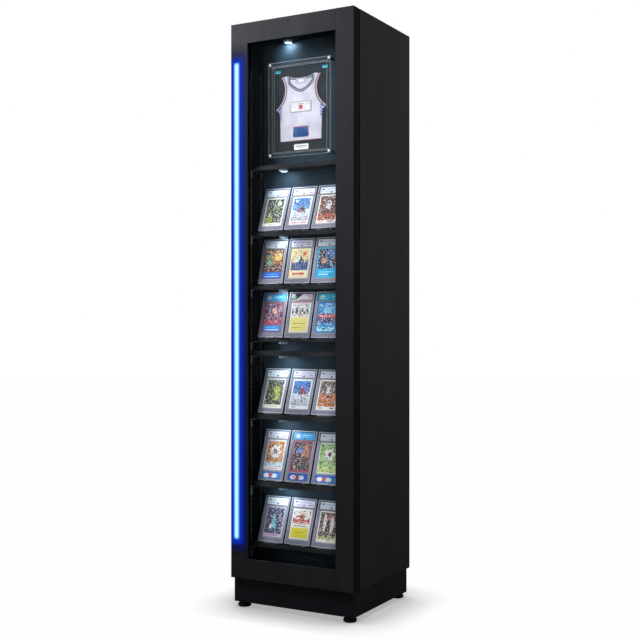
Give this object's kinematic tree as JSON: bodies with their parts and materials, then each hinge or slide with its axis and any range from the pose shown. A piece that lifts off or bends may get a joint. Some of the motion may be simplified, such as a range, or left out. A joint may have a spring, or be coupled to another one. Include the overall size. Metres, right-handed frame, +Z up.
{
  "type": "trading card display case",
  "caption": "Tall free-standing display case with a hinged glass door, lit shelves of leaning graded card slabs, a framed jersey and a vertical light bar.",
  "frame": {"origin": "on the floor under the middle of the case, hinge knuckles included", "axes": "+Z up, +X to the right seen from the front, -Y towards the person looking through the door"},
  "size_m": [0.407, 0.366, 1.6865],
  "materials": {
    "black_laminate": "satin black laminate, fine grain",
    "shelf_board": "satin black",
    "display_back": "matte dark grey",
    "rear_board": "matte black hardboard",
    "zinc_steel": "zinc plated",
    "black_plastic": "moulded",
    "glass": "clear tempered",
    "sealing_tape": "foam tape",
    "aluminium": "anodised",
    "strip_board": "white coated board",
    "lit_diffuser": "lit blue",
    "clear_acrylic": "clear polished",
    "clear_slab": "clear with frosted rim",
    "backing_board": "matte black",
    "jersey_cloth": "knitted mesh",
    "plaque_plate": "brushed plate",
    "bright_studs": "polished",
    "driver_case": "plain",
    "lead_sheath": "cable sheath"
  },
  "bodies": {
    "case": {"side_left": "black_laminate", "side_right": "black_laminate", "top_panel": "black_laminate", "bottom_panel": "black_laminate", "rear_panel": "rear_board", "case_fasteners": "zinc_steel", "liner_left": "black_laminate", "liner_right": "black_laminate", "ceiling_board": "black_laminate", "display_back": "display_back", "plinth": "black_laminate", "shelf_standards": "zinc_steel", "shelf_brackets": "zinc_steel", "shelf_5": "shelf_board", "case_hinge_leaves": "zinc_steel", "latch_body": "black_plastic", "frame_tray": "clear_acrylic", "frame_backing": "backing_board", "jersey": "jersey_cloth", "frame_plaques": "plaque_plate", "frame_studs": "bright_studs", "led_driver": "driver_case", "power_inlet": "black_plastic", "wiring": "lead_sheath"},
    "door": {"door_stile_left": "black_laminate", "door_stile_right": "black_laminate", "door_rail_top": "black_laminate", "door_rail_bottom": "black_laminate", "door_glass": "glass", "glass_gasket": "sealing_tape", "glass_clips": "zinc_steel", "light_channel": "aluminium", "led_strip": "strip_board", "light_diffuser": "lit_diffuser", "door_hinge_leaves": "zinc_steel", "latch_strike": "zinc_steel"},
    "latch_pin": {"latch_plunger": "zinc_steel"},
    "shelf_1_set": {"shelf_1": "shelf_board"},
    "shelf_2_set": {"shelf_2": "shelf_board", "slabs_row_1": "clear_slab", "easels_row_1": "clear_acrylic"},
    "shelf_3_set": {"shelf_3": "shelf_board", "slabs_row_2": "clear_slab", "easels_row_2": "clear_acrylic"},
    "shelf_4_set": {"shelf_4": "shelf_board", "slabs_row_3": "clear_slab", "easels_row_3": "clear_acrylic"},
    "shelf_6_set": {"shelf_6": "shelf_board", "slabs_row_4": "clear_slab", "easels_row_4": "clear_acrylic"},
    "shelf_7_set": {"shelf_7": "shelf_board", "slabs_row_5": "clear_slab", "easels_row_5": "clear_acrylic"},
    "shelf_8_set": {"shelf_8": "shelf_board", "slabs_row_6": "clear_slab", "easels_row_6": "clear_acrylic"},
    "foot_front_left_set": {"foot_front_left": "black_plastic"},
    "foot_front_right_set": {"foot_front_right": "black_plastic"},
    "foot_rear_left_set": {"foot_rear_left": "black_plastic"},
    "foot_rear_right_set": {"foot_rear_right": "black_plastic"}
  },
  "joints": [
    {"name": "door_hinge", "type": "hinge", "parent": "case", "child": "door", "pos_m": [-0.2, -0.147, 0.88625], "axis": [0, 0, -1], "range_deg": [0, 120]},
    {"name": "latch_push", "type": "slide", "parent": "case", "child": "latch_pin", "axis": [0, 1, 0], "range_m": [0, 0.003], "stiffness_N_per_m": 300},
    {"name": "shelf_1_lift", "type": "slide", "parent": "case", "child": "shelf_1_set", "axis": [0, 0, 1], "range_m": [0, 0.004]},
    {"name": "shelf_2_lift", "type": "slide", "parent": "case", "child": "shelf_2_set", "axis": [0, 0, 1], "range_m": [0, 0.004]},
    {"name": "shelf_3_lift", "type": "slide", "parent": "case", "child": "shelf_3_set", "axis": [0, 0, 1], "range_m": [0, 0.004]},
    {"name": "shelf_4_lift", "type": "slide", "parent": "case", "child": "shelf_4_set", "axis": [0, 0, 1], "range_m": [0, 0.004]},
    {"name": "shelf_6_lift", "type": "slide", "parent": "case", "child": "shelf_6_set", "axis": [0, 0, 1], "range_m": [0, 0.004]},
    {"name": "shelf_7_lift", "type": "slide", "parent": "case", "child": "shelf_7_set", "axis": [0, 0, 1], "range_m": [0, 0.004]},
    {"name": "shelf_8_lift", "type": "slide", "parent": "case", "child": "shelf_8_set", "axis": [0, 0, 1], "range_m": [0, 0.004]},
    {"name": "foot_front_left_turn", "type": "hinge", "parent": "case", "child": "foot_front_left_set", "pos_m": [-0.1695, -0.152, 0.015], "axis": [0, 0, 1], "continuous": true},
    {"name": "foot_front_right_turn", "type": "hinge", "parent": "case", "child": "foot_front_right_set", "pos_m": [0.1765, -0.152, 0.015], "axis": [0, 0, 1], "continuous": true},
    {"name": "foot_rear_left_turn", "type": "hinge", "parent": "case", "child": "foot_rear_left_set", "pos_m": [-0.1695, 0.152, 0.015], "axis": [0, 0, 1], "continuous": true},
    {"name": "foot_rear_right_turn", "type": "hinge", "parent": "case", "child": "foot_rear_right_set", "pos_m": [0.1765, 0.152, 0.015], "axis": [0, 0, 1], "continuous": true}
  ]
}
